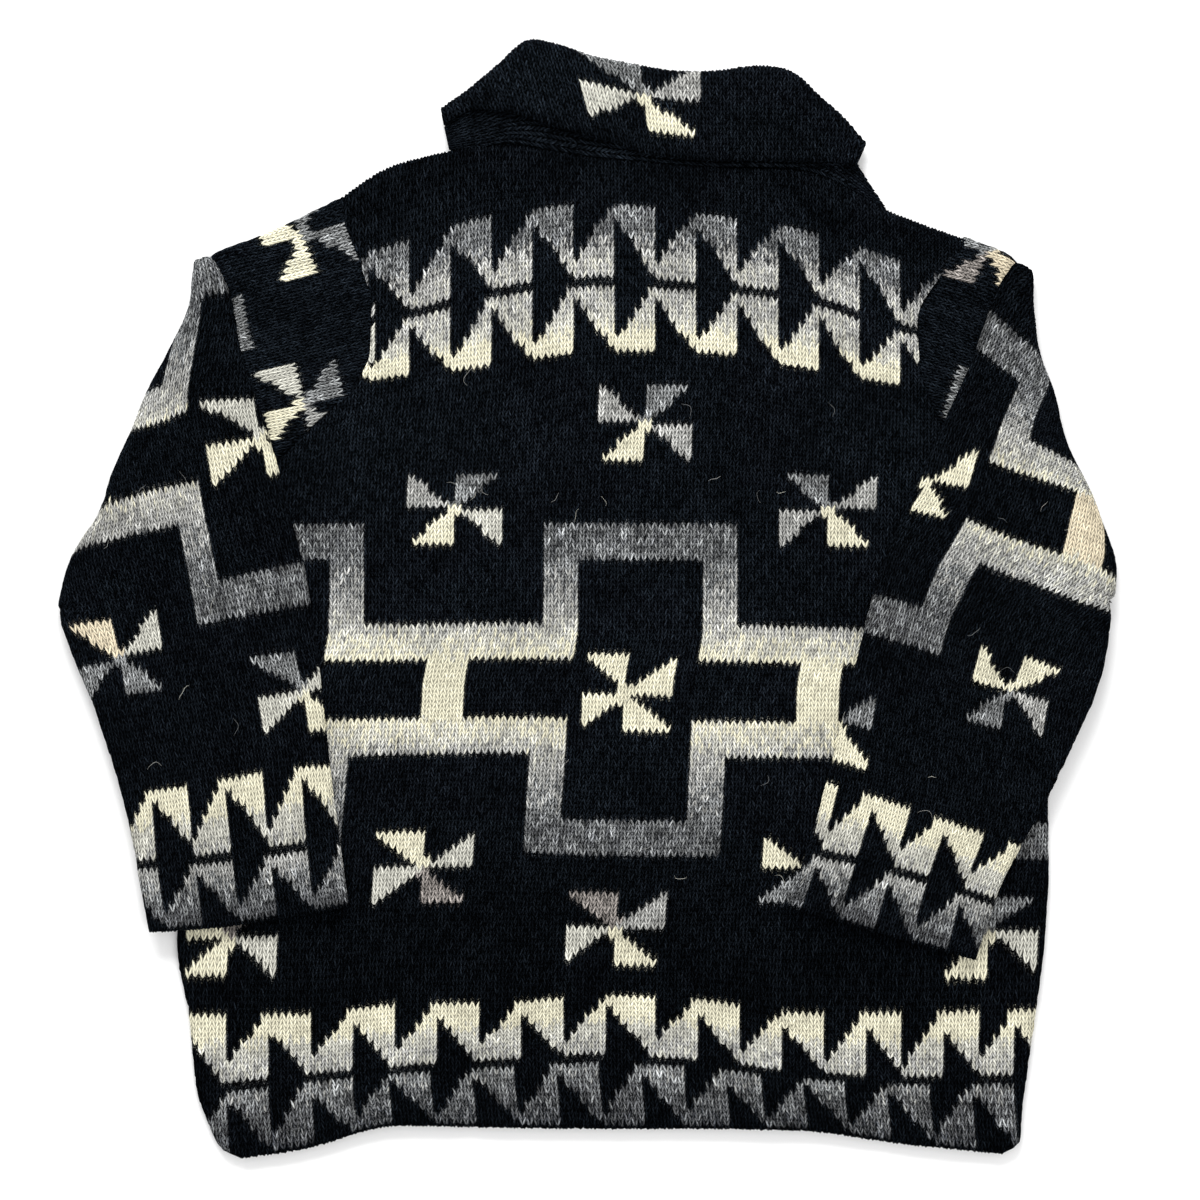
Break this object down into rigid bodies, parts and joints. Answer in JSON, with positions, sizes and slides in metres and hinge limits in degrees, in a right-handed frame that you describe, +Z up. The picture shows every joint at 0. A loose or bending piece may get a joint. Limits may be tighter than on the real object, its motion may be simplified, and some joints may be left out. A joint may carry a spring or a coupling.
{
  "type": "cardigan",
  "caption": "Shawl-collar cardigan in heavy knit with a banded geometric pattern, laid flat face down with its sleeves folded over the back.",
  "frame": {"origin": "centre of the footprint, on the surface that the garment lies on", "axes": "+Z up, out of the garment's back; +Y from the hem to the collar; the wearer's left sleeve is at -X, because the garment lies face down"},
  "size_m": [0.7574, 0.8048, 0.018],
  "materials": {
    "body_knit": "brushed stocking-stitch wool, near-black with pale grey and cream geometric colourwork",
    "sleeve_knit": "brushed stocking-stitch wool, near-black with pale grey and cream geometric colourwork",
    "collar_knit": "brushed stocking-stitch wool, near-black with one pale pinwheel",
    "band_knit": "plain near-black wool knitted sideways"
  },
  "bodies": {
    "root": {"back": "body_knit", "front_left": "body_knit", "front_right": "body_knit", "sleeve_left": "sleeve_knit", "sleeve_right": "sleeve_knit", "collar": "collar_knit", "band_left": "band_knit", "band_right": "band_knit"}
  },
  "joints": []
}
